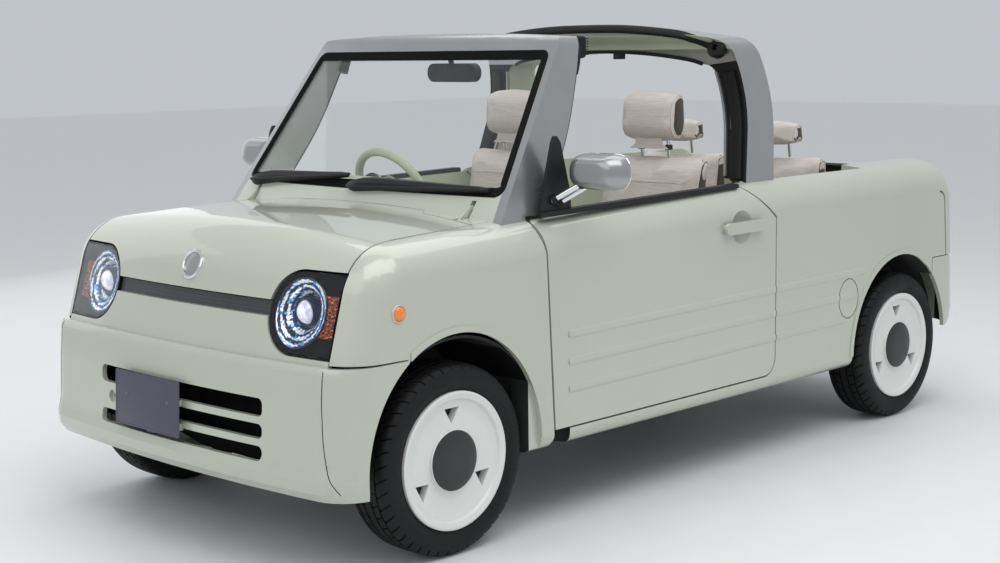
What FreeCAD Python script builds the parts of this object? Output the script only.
import FreeCAD
import Part
import math
import os
import Sketcher

# Small open-topped car with a short load deck, in millimetres.
# +X points forward, +Y to the car's left, +Z up. The origin lies on the ground,
# under the middle of the car's box.

os.makedirs("parts", exist_ok=True)

SIZES = {
    # Whole car
    "overall_length": 3395.0,
    "body_half_width": 733.5,
    "rib_height": 4.0,
    "wheelbase": 2390.0,
    "front_overhang": 492.5,
    "seam": 3.0,
    "shut_gap": 5.5,
    "pin_clearance": 0.06,
    "seat_clearance": 0.3,
    # Outer skin: one section carried along one line over the car
    "crown_radius": 6000.0,
    "corner_radius": 110.0,
    "skin": 14.0,
    "skirt": 26.0,
    "wall": 84.0,
    "nose_lean_deg": 16.2,
    "nose_set_back": 41.7,
    "nose_foot_height": 545.0,
    "nose_bend_radius": 200.0,
    "cowl_height": 962.0,
    "cowl_from_nose": 697.5,
    "hood_slope_deg": 2.15,
    "rail_line_height": 1009.0,
    "rail_bend_radius": 4000.0,
    "tail_lean_deg": 5.0,
    "tail_set_back": 42.0,
    "tail_foot_height": 585.0,
    "tail_bend_radius": 190.0,
    # Lower edges
    "sill_height": 243.0,
    "sill_radius": 45.0,
    "bumper_top_height": 602.0,
    "bumper_bottom_height": 236.0,
    # Front bumper
    "bumper_half_width": 737.5,
    "rear_bumper_bottom_height": 318.0,
    "rear_bumper_corner_radius": 168.0,
    "bumper_corner_radius": 122.0,
    "bumper_skin": 16.0,
    "chin_height": 292.0,
    "slot_left_reach": 428.0,
    "slot_right_reach": 370.0,
    "slot_bottom_height": 318.0,
    "slot_tall": 42.0,
    "slot_top_extra": 10.0,
    "slot_pitch": 62.0,
    "slot_corner_radius": 18.0,
    "tow_panel_width": 110.0,
    "tow_recess_radius": 19.0,
    # Hood, lamps and the bar between them
    "hood_half_width_rear": 603.0,
    "hood_half_width_middle": 632.0,
    "hood_rear_step": 38.0,
    "hood_rear_from_nose": 732.5,
    "hood_lower_edge_height": 757.0,
    "hood_hinge_from_nose": 772.5,
    "hood_hinge_height": 965.0,
    "hood_hinge_offset": 520.0,
    "hinge_pin_radius": 6.0,
    "bar_bottom_height": 712.0,
    "bar_recess": 12.0,
    "lamp_offset": 492.0,
    "lamp_height": 729.0,
    "lamp_radius": 112.0,
    "lamp_outer_offset": 641.0,
    "lamp_bowl_radius": 88.0,
    "lens_thickness": 3.0,
    # Wheel arches
    "front_arch_half_length": 342.0,
    "front_arch_height": 372.0,
    "rear_arch_half_length": 332.0,
    "rear_arch_height": 358.0,
    "rear_arch_lead": 22.0,
    "arch_lip": 18.0,
    "wheel_house_radius": 352.0,
    "wheel_house_skin": 8.0,
    "tower_top_height": 700.0,
    "tower_radius": 85.0,
    "beam_low_height": 515.0,
    "radiator_thickness": 40.0,
    "radiator_half_width": 320.0,
    "radiator_tall": 280.0,
    # Door
    "door_front_low_x": 800.0,
    "door_front_top_x": 833.0,
    "door_low_height": 300.0,
    "door_rear_x": -333.0,
    "door_corner_radius": 62.0,
    "belt_front_height": 938.0,
    "belt_rear_height": 958.0,
    "belt_rear_x": -196.0,
    "door_slope_height": 846.0,
    "door_hinge_x": 772.0,
    "door_hinge_inset": 32.0,
    "door_hinge_low_height": 400.0,
    "door_hinge_high_height": 720.0,
    "door_hinge_pocket": 56.0,
    "door_card_depth": 34.0,
    "trim_height": 16.0,
    "trim_swing_radius": 43.0,
    # Ribs pressed into door and quarter
    "rib_tall": 27.0,
    "rib_front_x": 740.0,
    "rib_top_front_height": 584.0,
    "rib_pitch": 84.5,
    "rib_slope_deg": 0.65,
    "rib_rear_x": -905.0,
    "rib_rear_step": 62.0,
    # Door handle
    "handle_x": -136.0,
    "handle_height": 833.0,
    "handle_length": 222.0,
    "handle_tall": 40.0,
    "handle_stand_off": 22.0,
    "handle_bowl_radius": 58.0,
    # Mirrors
    "mirror_x": 692.0,
    "mirror_height": 1072.0,
    "mirror_offset": 806.0,
    "mirror_half_width": 102.0,
    "mirror_half_tall": 53.0,
    "mirror_half_depth": 40.0,
    "mirror_arm_radius": 9.0,
    # Windscreen
    "screen_face_x": 937.0,
    "screen_face_height": 1000.0,
    "screen_rake_deg": 34.8,
    "screen_top_height": 1489.0,
    "screen_head_bend": 70.0,
    "screen_crown_radius": 5200.0,
    "header_crown_radius": 9900.0,
    "screen_base_half_width": 660.0,
    "screen_top_half_width": 562.0,
    "screen_corner_radius": 66.0,
    "pillar_width": 32.0,
    "pillar_rear_low_x": 768.0,
    "header_deep": 111.0,
    "header_tall": 56.0,
    "glass_foot_height": 1000.0,
    "glass_thickness": 6.0,
    "glass_recess": 3.0,
    "wiper_tall": 23.0,
    "wiper_deep": 42.0,
    # Roll hoop
    "hoop_foot_half_width": 672.0,
    "hoop_shoulder_half_width": 590.0,
    "hoop_top_height": 1511.0,
    "hoop_top_drop": 52.0,
    "hoop_corner_radius": 75.0,
    "hoop_leg_width": 92.0,
    "hoop_bar_tall": 92.0,
    # Cabin
    "floor_height": 262.0,
    "floor_thickness": 18.0,
    "firewall_x": 905.0,
    "toe_x": 840.0,
    "heel_x": -690.0,
    "rear_seat_base_height": 410.0,
    "rear_seat_back_x": -1150.0,
    "deck_height": 585.0,
    "deck_rear_x": -1600.0,
    "seat_offset": 340.0,
    "front_seat_width": 490.0,
    "rear_seat_width": 470.0,
    "mirror_stem_radius": 9.0,
    # Steering
    "steering_wheel_x": 468.0,
    "steering_wheel_height": 935.0,
    "steering_wheel_radius": 182.0,
    "steering_rim_radius": 15.0,
    "column_rake_deg": 26.0,
    "column_radius": 12.0,
    "steering_boss_radius": 40.0,
    "steering_wheel_side": 340.0,
    "dash_half_width": 608.0,
    # Tailgate
    "gate_half_width": 560.0,
    "gate_low_height": 616.0,
    "gate_top_height": 944.0,
    "gate_thickness": 40.0,
    "gate_hinge_in": 22.0,
    "gate_hinge_up": 20.0,
    "tail_lamp_radius": 48.0,
    "tail_lamp_height": 770.0,
    # Tyres and wheels
    "tyre_radius": 280.0,
    "tyre_width": 165.0,
    "tyre_tread_width": 132.0,
    "rim_radius": 190.0,
    "rim_width": 146.0,
    "wheel_face_offset": 722.0,
    "cover_radius": 201.0,
    "cap_radius": 89.0,
    "cover_hole_radius": 132.0,
    "spindle_radius": 15.0,
    # Steered knuckles
    "kingpin_low_offset": 600.0,
    "kingpin_low_height": 175.0,
    "kingpin_high_offset": 470.0,
    "kingpin_high_height": 668.0,
    "strut_radius": 21.0,
    "knuckle_pin_radius": 9.0,
    "hub_radius": 52.0,
    # Underbody
    "rear_beam_radius": 32.0,
    "engine_length": 330.0,
    "engine_width": 560.0,
    "engine_tall": 430.0,
    "engine_x": 1250.0,
    "engine_height": 250.0,
    "tank_length": 310.0,
    "tank_width": 660.0,
    "tank_tall": 140.0,
    "exhaust_radius": 19.0,
    "exhaust_height": 205.0,
    "exhaust_bend_radius": 45.0,
    "subframe_low_height": 166.0,
    "rear_beam_height": 276.0,
    "muffler_radius": 72.0,
    "muffler_length": 420.0,
    # Fastening places
    "plate_hole_radius": 3.5,
    "plate_hole_spacing": 210.0,
    "plate_hole_height": 432.0,
    "plate_offset": 78.0,
    "hoop_hole_radius": 8.0,
    "hoop_hole_depth": 30.0,
    "tow_hole_radius": 9.0,
    "tow_hole_depth": 45.0,
}

doc = FreeCAD.newDocument("open_kei_car")
sheet = doc.addObject("Spreadsheet::Sheet", "sizes")
for row, (name, value) in enumerate(SIZES.items(), start=1):
    sheet.set("A%d" % row, name)
    sheet.set("B%d" % row, str(value))
    sheet.setAlias("B%d" % row, name)
doc.recompute()

size = {name: float(sheet.get(name)) for name in SIZES}
pieces = {}


def vec(x, y, z):
    return FreeCAD.Vector(x, y, z)


def keep(name, shape):
    """Adds one finished piece whose form comes from Part's own functions."""
    feature = doc.addObject("Part::Feature", name)
    feature.Shape = shape
    feature.Label = name
    pieces[name] = feature
    return feature


def box(x_low, x_high, y_low, y_high, z_low, z_high):
    return Part.makeBox(x_high - x_low, y_high - y_low, z_high - z_low, vec(x_low, y_low, z_low))


def mirrored(shape):
    """The same form on the car's right side."""
    return shape.mirror(vec(0, 0, 0), vec(0, 1, 0))


def both(shape):
    return Part.makeCompound([shape, mirrored(shape)])


def rod(start, end, radius):
    """Round bar between two points."""
    axis = end - start
    return Part.makeCylinder(radius, axis.Length, start, axis)


def rounded(points, radii, place, closed=True):
    """Wire through the points, each corner rounded by its own radius; place maps (u, w) to space."""
    count = len(points)
    edges = []
    trimmed = []
    for index, (u, w) in enumerate(points):
        radius = radii[index] if isinstance(radii, (list, tuple)) else radii
        last = not closed and index in (0, count - 1)
        if radius <= 0 or last:
            trimmed.append(((u, w), None, (u, w)))
            continue
        before = FreeCAD.Vector(points[index - 1][0] - u, points[index - 1][1] - w, 0)
        after_point = points[(index + 1) % count]
        after = FreeCAD.Vector(after_point[0] - u, after_point[1] - w, 0)
        before.normalize()
        after.normalize()
        half = before.getAngle(after) / 2
        reach = radius / math.tan(half)
        middle = before + after
        middle.normalize()
        depth = radius / math.sin(half) - radius
        start = (u + before.x * reach, w + before.y * reach)
        bulge = (u + middle.x * depth, w + middle.y * depth)
        end = (u + after.x * reach, w + after.y * reach)
        trimmed.append((start, bulge, end))
    spans = count if closed else count - 1
    for index in range(count):
        start, bulge, end = trimmed[index]
        if bulge is not None:
            edges.append(Part.Arc(place(*start), place(*bulge), place(*end)).toShape())
        if index < spans:
            following = trimmed[(index + 1) % count][0]
            if place(*end).distanceToPoint(place(*following)) > 1e-6:
                edges.append(Part.LineSegment(place(*end), place(*following)).toShape())
    return Part.Wire(edges)


def along_y(points, radii, y_low, y_high):
    """Outline in X and Z, made solid from y_low to y_high."""
    wire = rounded(points, radii, lambda u, w: vec(u, y_low, w))
    return Part.Face(wire).extrude(vec(0, y_high - y_low, 0))


def along_z(points, radii, z_low, z_high):
    """Outline in X and Y, made solid from z_low to z_high."""
    wire = rounded(points, radii, lambda u, w: vec(u, w, z_low))
    return Part.Face(wire).extrude(vec(0, 0, z_high - z_low))


def along_x(points, radii, x_low, x_high):
    """Outline in Y and Z, made solid from x_low to x_high."""
    wire = rounded(points, radii, lambda u, w: vec(x_low, u, w))
    return Part.Face(wire).extrude(vec(x_high - x_low, 0, 0))


def ellipse_block(x, z, half_length, half_height, y_low, y_high):
    """Elliptic block along Y, for a wheel arch."""
    long_way = max(half_length, half_height)
    short_way = min(half_length, half_height)
    curve = Part.Ellipse(vec(0, 0, 0), long_way, short_way)
    face = Part.Face(Part.Wire([curve.toShape()]))
    turn = 90 if half_height > half_length else 0
    face.rotate(vec(0, 0, 0), vec(0, 0, 1), turn)
    face.rotate(vec(0, 0, 0), vec(1, 0, 0), 90)
    face.translate(vec(x, y_low, z))
    return face.extrude(vec(0, y_high - y_low, 0))


# Positions that follow from the sizes

nose_x = size["overall_length"] / 2
tail_x = -size["overall_length"] / 2
front_axle_x = nose_x - size["front_overhang"]
rear_axle_x = front_axle_x - size["wheelbase"]
half_width = size["body_half_width"]
rib_half_width = half_width + size["rib_height"]
axle_height = size["tyre_radius"]
seam = size["seam"]
gap = size["shut_gap"]
wide = 2000.0


# The line over the car: nose, hood, belt rail and tail, with the skin's section carried along it

def cross(first, first_angle, second, second_angle):
    """Where two straight lines meet, each given by a point and an angle in degrees."""
    ux, uz = math.cos(math.radians(first_angle)), math.sin(math.radians(first_angle))
    wx, wz = math.cos(math.radians(second_angle)), math.sin(math.radians(second_angle))
    dx, dz = second[0] - first[0], second[1] - first[1]
    along = (dx * wz - dz * wx) / (ux * wz - uz * wx)
    return (first[0] + along * ux, first[1] + along * uz)


nose_foot = (nose_x - size["nose_set_back"], size["nose_foot_height"])
cowl_point = (nose_x - size["cowl_from_nose"], size["cowl_height"])
tail_foot = (tail_x + size["tail_set_back"], size["tail_foot_height"])
rail_point = (tail_x, size["rail_line_height"])
nose_angle = 90.0 + size["nose_lean_deg"]
hood_angle = 180.0 - size["hood_slope_deg"]
tail_angle = 90.0 - size["tail_lean_deg"]
over_line = [
    nose_foot,
    cross(nose_foot, nose_angle, cowl_point, hood_angle),
    cross(cowl_point, hood_angle, rail_point, 0.0),
    cross(rail_point, 0.0, tail_foot, tail_angle),
    tail_foot,
]
over_radii = [0.0, size["nose_bend_radius"], size["rail_bend_radius"], size["tail_bend_radius"], 0.0]


def line_spans(points, radii):
    """Straight and curved spans of the line, each as (kind, start, end, centre, start angle, turn)."""
    spans = []
    start = FreeCAD.Vector(points[0][0], 0, points[0][1])
    for index in range(1, len(points) - 1):
        here = vec(points[index][0], 0, points[index][1])
        back = vec(points[index - 1][0], 0, points[index - 1][1]) - here
        ahead = vec(points[index + 1][0], 0, points[index + 1][1]) - here
        back.normalize()
        ahead.normalize()
        half = back.getAngle(ahead) / 2
        reach = radii[index] / math.tan(half)
        arc_start = here + back * reach
        arc_end = here + ahead * reach
        middle = back + ahead
        middle.normalize()
        centre = here + middle * (radii[index] / math.sin(half))
        spans.append(("straight", start, arc_start, None, 0.0))
        spans.append(("curve", arc_start, arc_end, centre, math.degrees(math.pi - 2 * half)))
        start = arc_end
    spans.append(("straight", start, vec(points[-1][0], 0, points[-1][1]), None, 0.0))
    return spans


over_spans = line_spans(over_line, over_radii)

corner_reach = half_width - size["corner_radius"]
crown_turn = math.asin(corner_reach / (size["crown_radius"] - size["corner_radius"]))
corner_drop = size["crown_radius"] - (size["crown_radius"] - size["corner_radius"]) * math.cos(crown_turn)


def skin_section(origin, outward, thickness, skirt, margin=0.0):
    """Face of the skin's section: crowned top, round corners, straight skirts; margin grows it."""

    def place(y, drop):
        point = origin - outward * drop
        return vec(point.x, y, point.z)

    def edge_of(offset):
        crown = size["crown_radius"] - offset
        corner = size["corner_radius"] - offset
        top = offset
        edge_y = crown * math.sin(crown_turn)
        edge_drop = size["crown_radius"] - crown * math.cos(crown_turn)
        middle = (math.pi / 2 + crown_turn) / 2
        middle_y = corner_reach + corner * math.sin(middle)
        middle_drop = corner_drop - corner * math.cos(middle)
        side_y = corner_reach + corner
        foot = corner_drop + skirt
        return top, edge_y, edge_drop, middle_y, middle_drop, side_y, foot

    outer = edge_of(-margin)
    inner = edge_of(thickness)
    edges = []
    for (top, edge_y, edge_drop, middle_y, middle_drop, side_y, foot), sign in ((outer, 1), (inner, -1)):
        run = [
            Part.LineSegment(place(-side_y, foot), place(-side_y, corner_drop)).toShape(),
            Part.Arc(place(-side_y, corner_drop), place(-middle_y, middle_drop),
                     place(-edge_y, edge_drop)).toShape(),
            Part.Arc(place(-edge_y, edge_drop), place(0, top), place(edge_y, edge_drop)).toShape(),
            Part.Arc(place(edge_y, edge_drop), place(middle_y, middle_drop),
                     place(side_y, corner_drop)).toShape(),
            Part.LineSegment(place(side_y, corner_drop), place(side_y, foot)).toShape(),
        ]
        edges += run
    for sign in (-1, 1):
        edges.append(Part.LineSegment(place(sign * outer[5], outer[6]),
                                      place(sign * inner[5], inner[6])).toShape())
    return Part.Face(Part.Wire(Part.__sortEdges__(edges)))


def skin_along(spans, thickness, skirt):
    """Solid skin carried along some spans of the line."""
    solids = []
    for kind, start, end, centre, turn in spans:
        if kind == "straight":
            run = end - start
            outward = vec(run.z, 0, -run.x)
            if outward.dot(vec(start.x, 0, start.z - 500.0)) < 0:
                outward = outward * -1
            outward.normalize()
            solids.append(skin_section(start, outward, thickness, skirt).extrude(run))
        else:
            outward = start - centre
            outward.normalize()
            face = skin_section(start, outward, thickness, skirt)
            solids.append(face.revolve(centre, vec(0, -1, 0), turn))
    whole = solids[0]
    if len(solids) > 1:
        whole = solids[0].fuse(solids[1:])
    return whole.removeSplitter()


def inset_outline(drop, spans):
    """Edges of the line over the car, moved in by drop, in the plane y = 0."""
    edges = []
    for kind, start, end, centre, turn in spans:
        if kind == "straight":
            run = end - start
            outward = vec(run.z, 0, -run.x)
            if outward.dot(vec(start.x, 0, start.z - 500.0)) < 0:
                outward = outward * -1
            outward.normalize()
            edges.append(("line", start - outward * drop, end - outward * drop, None))
        else:
            first = start - centre
            second = end - centre
            radius = first.Length - drop
            first.normalize()
            second.normalize()
            middle = first + second
            middle.normalize()
            edges.append(("arc", centre + first * radius, centre + second * radius,
                          centre + middle * radius))
    return edges


def side_slab(spans, foot_points, y_low, y_high):
    """Flat side wall under the round corner of the skin, closed by its foot points."""
    edges = []
    moves = inset_outline(corner_drop + size["skirt"] / 2, spans)
    for kind, start, end, middle in moves:
        if kind == "line":
            edges.append(Part.LineSegment(start, end).toShape())
        else:
            edges.append(Part.Arc(start, middle, end).toShape())
    corners = [moves[-1][2]] + [vec(x, 0, z) for x, z in foot_points] + [moves[0][1]]
    for first, second in zip(corners, corners[1:]):
        edges.append(Part.LineSegment(first, second).toShape())
    face = Part.Face(Part.Wire(edges))
    face.translate(vec(0, y_low, 0))
    return face.extrude(vec(0, y_high - y_low, 0))


front_spans = over_spans[:3]
belt_spans = over_spans[2:5]
rear_spans = over_spans[4:]

front_skin = skin_along(front_spans, size["skin"], size["skirt"])
tail_skin = skin_along(rear_spans, size["gate_thickness"], size["tail_bend_radius"] - corner_drop
                       - size["gate_thickness"] - 2.0)
belt_wall = skin_along(belt_spans, size["wall"], 700.0)

front_slab = side_slab(
    front_spans,
    [(front_spans[-1][2].x, size["sill_height"]), (nose_foot[0] - 150.0, size["sill_height"])],
    half_width - size["skin"],
    half_width,
)


# Cutters: door opening, arches, seams


def door_front_line(grow):
    """Front shut line of the door, moved forward by grow: (low point, high point) down to the ground."""
    low = size["door_front_low_x"] + grow
    top = size["door_front_top_x"] + grow
    slope = (top - low) / (size["belt_front_height"] - size["door_low_height"])
    return [
        (low - slope * size["door_low_height"], 0.0),
        (low + slope * (1200.0 - size["door_low_height"]), 1200.0),
    ]


def belt_height(x):
    """Height of the belt line over the door."""
    run = size["door_front_top_x"] - size["belt_rear_x"]
    rise = size["belt_rear_height"] - size["belt_front_height"]
    return size["belt_front_height"] + (size["door_front_top_x"] - x) * rise / run


def door_outline(grow):
    """Door seen from the side, grown by grow on the shut lines; the top stands open to the sky."""
    low = size["door_low_height"] - grow
    rear = size["door_rear_x"] - grow
    slope_x = size["belt_rear_x"] - grow
    front_low, front_high = door_front_line(grow)
    slope = (front_high[0] - front_low[0]) / (front_high[1] - front_low[1])
    top = belt_height(size["belt_rear_x"])
    points = [
        (front_low[0] + slope * low, low),
        (front_low[0] + slope * (top + 200.0), top + 200.0),
        (slope_x, top + 200.0),
        (slope_x, top),
        (rear, size["door_slope_height"] + grow),
        (rear, low),
    ]
    return points, [0.0, 0.0, 0.0, 0.0, 0.0, size["door_corner_radius"] + grow]


def door_block(grow, y_low, y_high):
    points, radii = door_outline(grow)
    return along_y(points, radii, y_low, y_high)


hinge_y = half_width - size["door_hinge_inset"]
hinge_x = size["door_hinge_x"]


def hinge_sweep(extra):
    """Cone about the door hinge axis that the door's front edge turns in."""
    low = size["door_low_height"]
    high = size["door_slope_height"]
    lean = (size["door_front_top_x"] - size["door_front_low_x"]) / (size["belt_front_height"] - low)
    low_reach = size["door_front_low_x"] - hinge_x
    high_reach = low_reach + lean * (high - low)
    low_radius = math.hypot(low_reach, size["door_hinge_inset"])
    high_radius = math.hypot(high_reach, size["door_hinge_inset"])
    slope = (high_radius - low_radius) / (high - low)
    tall = 1100.0
    foot_radius = low_radius - slope * low + extra
    return Part.makeCone(foot_radius, foot_radius + slope * tall, tall, vec(hinge_x, hinge_y, 0.0))


arch_inner_y = 500.0


def front_arch(grow):
    return ellipse_block(front_axle_x, axle_height, size["front_arch_half_length"] + grow,
                         size["front_arch_height"] + grow, arch_inner_y, wide)


def rear_arch(grow):
    return ellipse_block(rear_axle_x + size["rear_arch_lead"], axle_height,
                         size["rear_arch_half_length"] + grow, size["rear_arch_height"] + grow,
                         arch_inner_y, wide)


def arch_lip(arch):
    """Raised band round a wheel arch."""
    ring = arch(size["arch_lip"]).cut(arch(-1.0))
    return ring.common(box(-wide, wide, half_width - 4.0, rib_half_width, size["sill_height"] + 18.0, wide))


def lamp_outline(grow):
    """Round lamp whose outer side runs straight to a vertical edge."""
    radius = size["lamp_radius"] + grow
    centre_y = size["lamp_offset"]
    centre_z = size["lamp_height"]
    outer_y = size["lamp_outer_offset"] + grow
    edges = [
        Part.Arc(vec(0, centre_y, centre_z + radius), vec(0, centre_y - radius, centre_z),
                 vec(0, centre_y, centre_z - radius)).toShape(),
        Part.LineSegment(vec(0, centre_y, centre_z - radius), vec(0, outer_y, centre_z - radius)).toShape(),
        Part.LineSegment(vec(0, outer_y, centre_z - radius), vec(0, outer_y, centre_z + radius)).toShape(),
        Part.LineSegment(vec(0, outer_y, centre_z + radius), vec(0, centre_y, centre_z + radius)).toShape(),
    ]
    return Part.Wire(edges)


def lamp_block(grow, x_low, x_high):
    face = Part.Face(lamp_outline(grow))
    face.translate(vec(x_low, 0, 0))
    return face.extrude(vec(x_high - x_low, 0, 0))


# Hood, fenders, nose and cowl: one skin, parted at the seams

hood_rear_x = nose_x - size["hood_rear_from_nose"]
hood_step_x = hood_rear_x + size["hood_rear_step"]
hood_front_x = nose_x + 50.0
hood_front_y = size["lamp_outer_offset"]
hood_inner_y = size["hood_half_width_rear"] * 0.57


def hood_outline(grow):
    """Hood seen from above, left half and right half, grown by grow."""
    left = [
        (hood_front_x, hood_front_y + grow),
        (nose_x - 160.0, hood_front_y + grow),
        (nose_x - 270.0, size["hood_half_width_middle"] + grow),
        (nose_x - 370.0, size["hood_half_width_rear"] + 8.0 + grow),
        (hood_step_x + 16.0 - grow, size["hood_half_width_rear"] + grow),
        (hood_step_x - grow, hood_inner_y + size["hood_rear_step"] - grow),
        (hood_rear_x - grow, hood_inner_y - grow * 0.4),
    ]
    right = [(x, -y) for x, y in reversed(left)]
    return left + right


hood_low = size["hood_lower_edge_height"]
hood_region = along_z(hood_outline(0.0), 0.0, hood_low, 1300.0)
hood_space = along_z(hood_outline(gap), 0.0, hood_low - gap, 1300.0)
lamp_spaces = both(lamp_block(seam, 1300.0, 1800.0))
hood_lamp_spaces = both(lamp_block(gap, 1300.0, 1800.0))
centre_space = along_z(
    [(hood_front_x, hood_front_y + seam), (hood_step_x, size["hood_half_width_rear"] + seam),
     (500.0, size["hood_half_width_rear"] + seam), (500.0, -wide), (hood_front_x, -wide)],
    0.0, 600.0, 1300.0)
left_front = box(600.0, 1800.0, 300.0, wide, 0.0, 1300.0)
bumper_top = size["bumper_top_height"]
lamp_outer = size["lamp_outer_offset"]

nose_panel = front_skin.common(
    box(1400.0, 1800.0, -lamp_outer - seam, lamp_outer + seam, bumper_top - 40.0, size["bar_bottom_height"]))
nose_panel = nose_panel.cut(lamp_spaces)
keep("nose_panel", nose_panel.removeSplitter())

fender = front_skin.common(left_front).fuse(front_slab.common(left_front)).removeSplitter()
fender = fender.cut(hood_space).cut(centre_space)
fender = fender.cut(box(1400.0, 1800.0, -wide, lamp_outer + 2 * seam, 0.0,
                        size["lamp_height"] + size["lamp_radius"] + seam))
fender = fender.cut(lamp_spaces)
bumper_split_x = front_axle_x + 187.0
fender = fender.cut(along_y(
    [(bumper_split_x - seam, 0.0), (bumper_split_x - seam, bumper_top - 4.0),
     (bumper_split_x + 5.0, bumper_top),
     (1800.0, bumper_top + 6.0), (1800.0, 0.0)],
    0.0, 300.0, wide))
fender = fender.cut(door_block(gap, 300.0, wide))
fender = fender.cut(box(-wide, size["door_front_low_x"], 0.0, wide, 0.0, wide))
fender = fender.cut(hinge_sweep(gap))
fender = fender.cut(front_arch(0.0))
fender = fender.fuse(arch_lip(front_arch).common(box(840.0, bumper_split_x - 8.0, 0.0, wide, 0.0, wide)))
fender = fender.removeSplitter()


def sill_tuck(shape):
    """Rounds the lower outer edge of a side piece."""
    radius = size["sill_radius"]
    centre_y = half_width - radius
    centre_z = size["sill_height"] + radius
    corner = box(-wide, wide, centre_y, wide, 0.0, centre_z)
    return shape.cut(corner.cut(Part.makeCylinder(radius, 2 * wide, vec(-wide, centre_y, centre_z),
                                                  vec(1, 0, 0))))


fender = sill_tuck(fender)
keep("front_fenders", both(fender))

# Windscreen frame and glass: a raked, crowned face with a rounded head, cut to the screen's outline

screen_lean = math.tan(math.radians(size["screen_rake_deg"]))


def screen_face_x(z, inset):
    """X of the screen's face at the middle of the car, at a height, moved in by inset."""
    return size["screen_face_x"] - screen_lean * (z - size["screen_face_height"]) - inset / math.cos(
        math.radians(size["screen_rake_deg"]))


header_rear_x = screen_face_x(size["screen_top_height"], 0.0) - size["header_deep"]


def screen_body(inset, low, back):
    """Everything behind the screen's face, as far as back, turned about a far upright axis."""
    top = size["screen_top_height"] - inset
    axis_x = size["screen_face_x"] - size["screen_crown_radius"]
    points = [(screen_face_x(low, inset), low), (screen_face_x(top, inset), top),
              (header_rear_x - back, top), (header_rear_x - back, low)]
    wire = rounded(points, [0.0, size["screen_head_bend"] - inset, 0.0, 0.0], lambda u, w: vec(u, 0, w))
    face = Part.Face(wire)
    half_turn = 9.0
    face.rotate(vec(axis_x, 0, 0), vec(0, 0, 1), -half_turn)
    return face.revolve(vec(axis_x, 0, 0), vec(0, 0, 1), 2 * half_turn)


frame_base = size["cowl_height"] - 60.0
frame_rise = size["screen_top_height"] - frame_base
frame_taper = (size["screen_base_half_width"] - size["screen_top_half_width"]) / frame_rise


def frame_edge(z):
    return size["screen_base_half_width"] - frame_taper * (z - frame_base)


def screen_view(inset, low, high, radii):
    """Front view of the screen between two heights, inset from the frame's outer edge, as a block."""
    points = [(frame_edge(low) - inset, low), (frame_edge(high) - inset, high),
              (inset - frame_edge(high), high), (inset - frame_edge(low), low)]
    return along_x(points, radii, 200.0, 1300.0)


def pillar_rear(share, deep):
    """Point on the pillar's rear edge: share of the frame's rise, and depth behind the face."""
    height = frame_base + share * frame_rise
    return (screen_face_x(height, 0.0) - deep, height)


frame_over = size["screen_top_height"] + 11.0
pillar_points = [
    (size["pillar_rear_low_x"], frame_base),
    (size["pillar_rear_low_x"], frame_base + 33.0),
    pillar_rear(0.475, 210.2),
    pillar_rear(0.807, 153.7),
    (header_rear_x + 16.0, size["screen_top_height"] - 49.0),
    (header_rear_x, frame_over),
    (nose_x - 397.5, frame_over),
    (nose_x - 397.5, frame_base),
]
pillar_side = along_y(pillar_points, [0.0, 0.0, 900.0, 260.0, 30.0, 0.0, 0.0, 0.0], -900.0, 900.0)
screen_radius = size["screen_corner_radius"]
head_crown = Part.makeCylinder(size["header_crown_radius"], 1500.0,
                               vec(0, 0, size["screen_top_height"] - size["header_crown_radius"]), vec(1,
                                                                                                       0, 0))
glass_low = size["glass_foot_height"]
glass_high = size["screen_top_height"] - size["header_tall"]
frame_shape = screen_body(0.0, frame_base, 50.0).common(
    screen_view(0.0, frame_base, size["screen_top_height"] + 5.0, [0.0, screen_radius, screen_radius, 0.0]))
frame_shape = frame_shape.common(pillar_side).common(head_crown)
glass_view = screen_view(size["pillar_width"] - 8.0, glass_low, glass_high, [30.0, 34.0, 34.0, 30.0])
opening_view = screen_view(size["pillar_width"], glass_low + 10.0, glass_high - 8.0,
                           [24.0, 28.0, 28.0, 24.0])
glass_shell = screen_body(size["glass_recess"], glass_low - 20.0, 60.0).cut(
    screen_body(size["glass_recess"] + size["glass_thickness"], glass_low - 30.0, 70.0))
glass_shape = glass_shell.common(glass_view)
glass_shape = glass_shape.common(box(header_rear_x + 74.0, nose_x - 397.5, -wide, wide, 0.0, wide))
front_of_glass = screen_body(-20.0, glass_low - 20.0, 40.0).cut(
    screen_body(size["glass_recess"] + size["glass_thickness"], glass_low - 30.0, 70.0))
frame_shape = frame_shape.cut(front_of_glass.common(glass_view)).cut(opening_view)
under_line = over_spans[2:4]
skin_band = skin_along(under_line, 60.0, 40.0)
frame_shape = max(frame_shape.cut(skin_band).Solids, key=lambda solid: solid.Volume)
door_top_space = box(-wide, size["door_front_top_x"] + gap + 1.0, -wide, wide, 0.0,
                     size["belt_front_height"] + gap)
frame_shape = frame_shape.cut(door_top_space)
foot_view = screen_view(size["pillar_width"], frame_base, glass_low + 12.0, 0.0)
foot_depth = screen_body(0.0, frame_base, 50.0).cut(screen_body(60.0, frame_base - 20.0, 70.0))
foot = frame_shape.common(foot_view)
keep("windscreen", glass_shape)

hinge_rear_x = nose_x - size["hood_hinge_from_nose"]
cowl_region = along_z(
    [(hood_step_x + 60.0, -size["hood_half_width_rear"]), (hood_step_x + 60.0, size["hood_half_width_rear"]),
     (855.0, size["hood_half_width_rear"]), (855.0, -size["hood_half_width_rear"])], 0.0, 600.0, 1300.0)
cowl_shape = front_skin.common(cowl_region).cut(hood_space)
cowl_shape = cowl_shape.fuse(foot.common(foot_depth)).removeSplitter()
frame_shape = frame_shape.cut(foot_view)
frame_shape = frame_shape.cut(cowl_shape)

hood_shape = front_skin.common(hood_region).cut(hood_lamp_spaces)

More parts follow.
